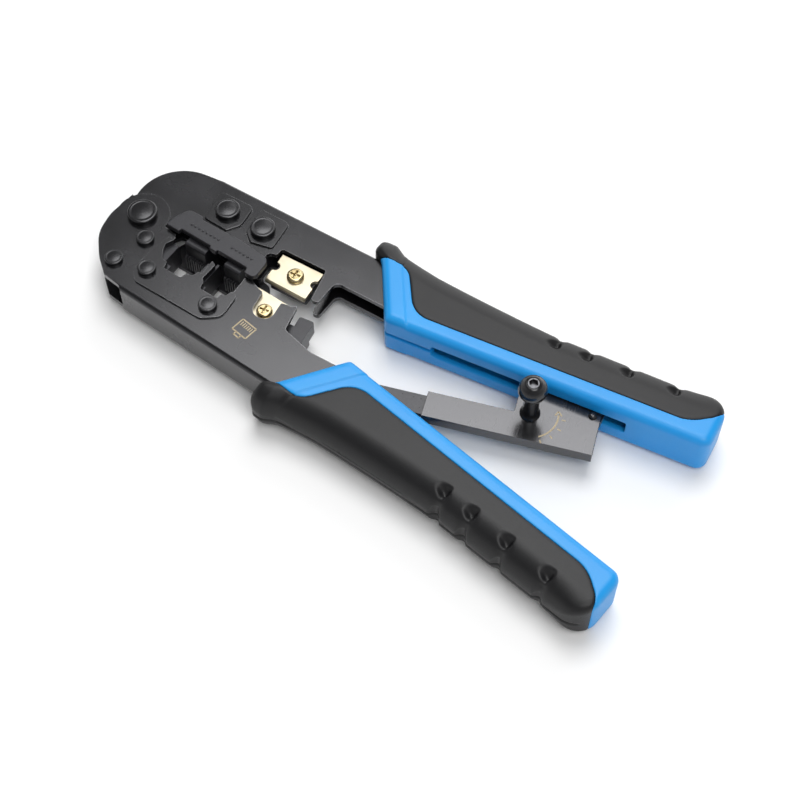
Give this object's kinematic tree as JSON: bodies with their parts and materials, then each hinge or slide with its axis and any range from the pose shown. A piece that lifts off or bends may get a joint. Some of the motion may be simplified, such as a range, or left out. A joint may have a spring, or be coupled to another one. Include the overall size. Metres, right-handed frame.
{
  "type": "modular plug crimping tool",
  "caption": "Ratcheted hand crimper for modular network and telephone plugs, with a cutter and a stripper, two-tone handles and a release knob",
  "frame": {"origin": "on the main pivot's axis, at the underside of the pivot rivet, level with the undersides of the handles", "axes": "+X runs from the pivot along the upper handle, +Z points out of the tool's face, along the pivot's axis"},
  "size_m": [0.2074, 0.0973, 0.028],
  "materials": {
    "black_oxide_steel": "satin black oxide on folded sheet steel",
    "black_cast_steel": "matte black oxide on sintered steel",
    "black_plated_sheet": "bright black plating over cross-ground sheet",
    "nickel_plate": "bright nickel with a light ground grain",
    "screw_plating": "yellow zinc plating",
    "spring_steel": "oiled spring wire",
    "blue_plastic": "satin moulded blue plastic",
    "black_rubber": "fine-textured thermoplastic rubber",
    "gloss_black_knob": "gloss black turned knob",
    "socket_screw_steel": "black screw with a worn bright rim"
  },
  "bodies": {
    "upper_frame": {"upper_frame_channel": "black_oxide_steel", "pivot_rivet": "black_oxide_steel", "pivot_bush": "black_oxide_steel", "return_spring": "spring_steel", "punch_8p": "black_cast_steel", "punch_6p": "black_cast_steel", "contact_comb_8p": "black_cast_steel", "contact_comb_6p": "black_cast_steel", "punch_rivets": "black_oxide_steel", "die_label_cover": "black_cast_steel", "rear_die_cover": "black_cast_steel", "cutter_blade": "nickel_plate", "blade_holder": "black_cast_steel", "blade_screw": "screw_plating", "upper_handle_core": "blue_plastic", "upper_handle_grip": "black_rubber", "ratchet_lug": "black_oxide_steel", "lug_rivet": "black_oxide_steel", "ratchet_pivot_rivet": "black_oxide_steel"},
    "lower_frame": {"lower_frame_channel": "black_oxide_steel", "die_8p": "black_cast_steel", "die_6p": "black_cast_steel", "die_rivets": "black_oxide_steel", "lobe_rivets": "black_oxide_steel", "frame_spacers": "black_oxide_steel", "stripper_anvil": "nickel_plate", "anvil_screw": "screw_plating", "anvil_holder": "black_cast_steel", "lower_handle_core": "blue_plastic", "lower_handle_grip": "black_rubber", "bar_pivot_pin": "black_oxide_steel"},
    "housing": {"ratchet_housing": "black_plated_sheet", "spring_post": "black_oxide_steel", "pawl_spring": "spring_steel"},
    "bar": {"ratchet_bar": "black_plated_sheet"},
    "release": {"pawl": "black_oxide_steel", "release_shaft": "black_oxide_steel", "release_knob": "gloss_black_knob", "knob_screw": "socket_screw_steel"}
  },
  "joints": [
    {"name": "main_pivot", "type": "hinge", "parent": "upper_frame", "child": "lower_frame", "pos_m": [0, 0, 0], "axis": [0, 0, 1], "range_deg": [0, 6], "stiffness_Nm_per_rad": 1.2, "springref_deg": -17.19, "deforming": ["return_spring"]},
    {"name": "housing_pivot", "type": "hinge", "parent": "upper_frame", "child": "housing", "pos_m": [0.1608, -0.006, 0.009], "axis": [0, 0, 1], "range_deg": [-6.5, 0]},
    {"name": "bar_pivot", "type": "hinge", "parent": "lower_frame", "child": "bar", "pos_m": [0.0842, -0.0288, 0.009], "axis": [0, 0, 1], "range_deg": [-12.6, 0]},
    {"name": "release_turn", "type": "hinge", "parent": "housing", "child": "release", "pos_m": [0.1431, -0.0131, 0.009], "axis": [0, 0, 1], "range_deg": [0, 20], "stiffness_Nm_per_rad": 0.02, "springref_deg": -11.46, "deforming": ["pawl_spring"]}
  ],
  "couplings": [
    {"joint": "housing_pivot", "follows": "main_pivot", "ratio": -1.045},
    {"joint": "bar_pivot", "follows": "main_pivot", "ratio": -2.045}
  ]
}
